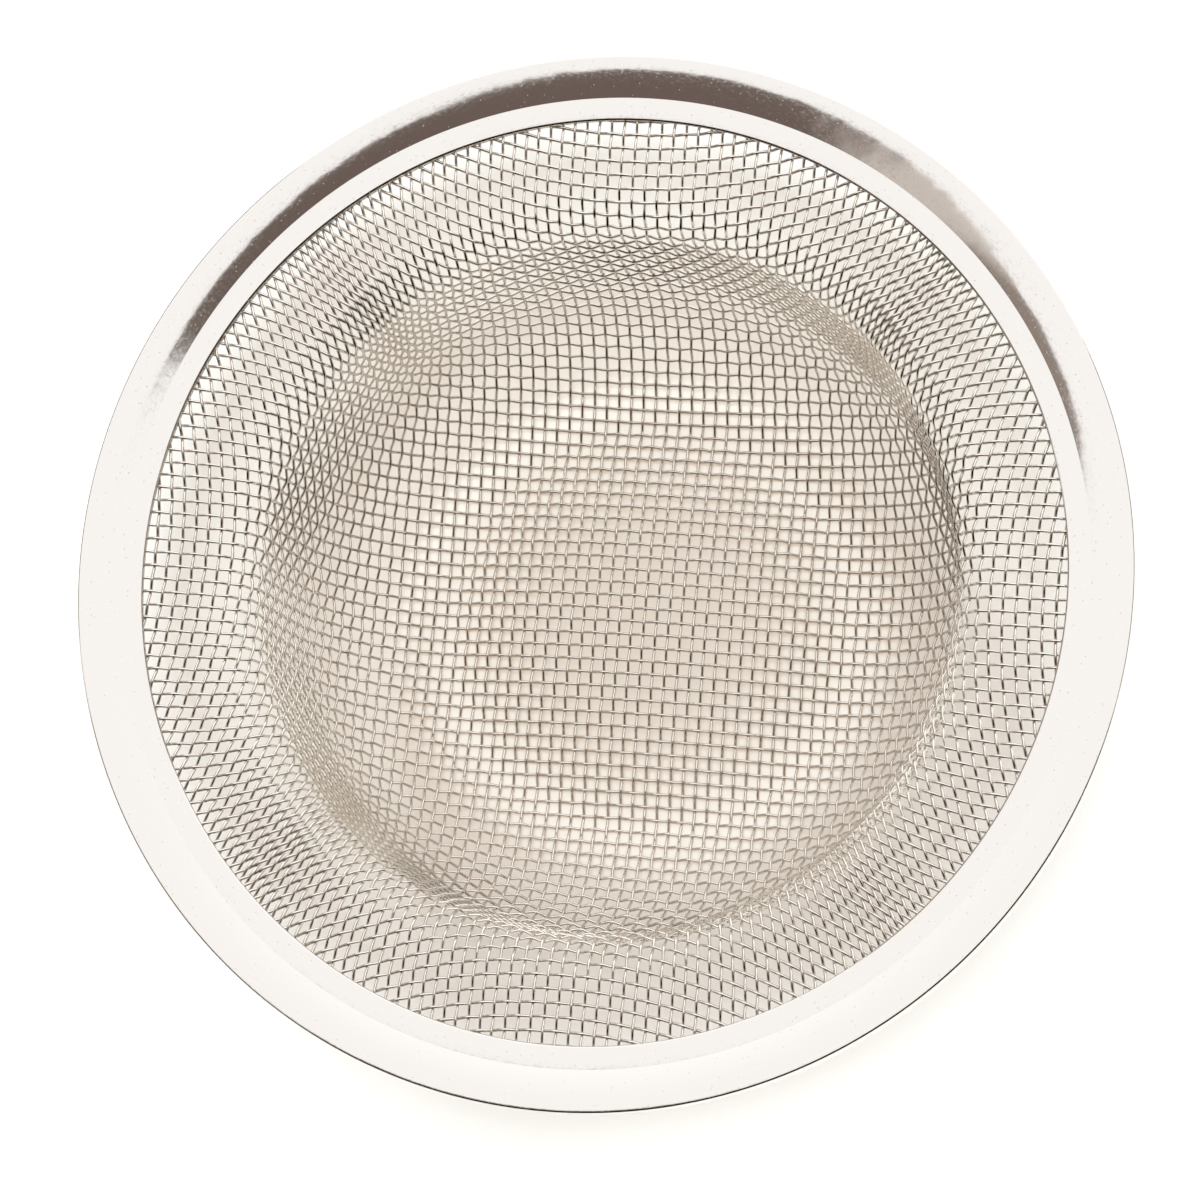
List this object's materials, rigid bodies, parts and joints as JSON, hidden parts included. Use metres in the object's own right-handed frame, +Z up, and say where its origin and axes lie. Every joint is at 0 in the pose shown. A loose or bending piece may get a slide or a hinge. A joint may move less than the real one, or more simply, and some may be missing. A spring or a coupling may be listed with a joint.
{
  "type": "sink strainer",
  "caption": "Round sink strainer: a deep bowl of plain-woven steel wire cloth with a domed bottom, hemmed all round into a broad folded steel rim that rests on the edge of a drain.",
  "frame": {"origin": "on the bowl's axis, at the height of the lowest wires of the ring that the bowl stands on", "axes": "+Z up along the bowl's axis, towards the open mouth; the weft wires run about along X, the warp wires about along Y"},
  "size_m": [0.11, 0.11, 0.0319],
  "materials": {
    "rim_steel": "bright rolled stainless sheet, folded and pressed",
    "wire_steel": "drawn stainless wire, woven and pressed"
  },
  "bodies": {
    "root": {"rim_ring": "rim_steel", "warp_wires": "wire_steel", "weft_wires": "wire_steel"}
  },
  "joints": []
}
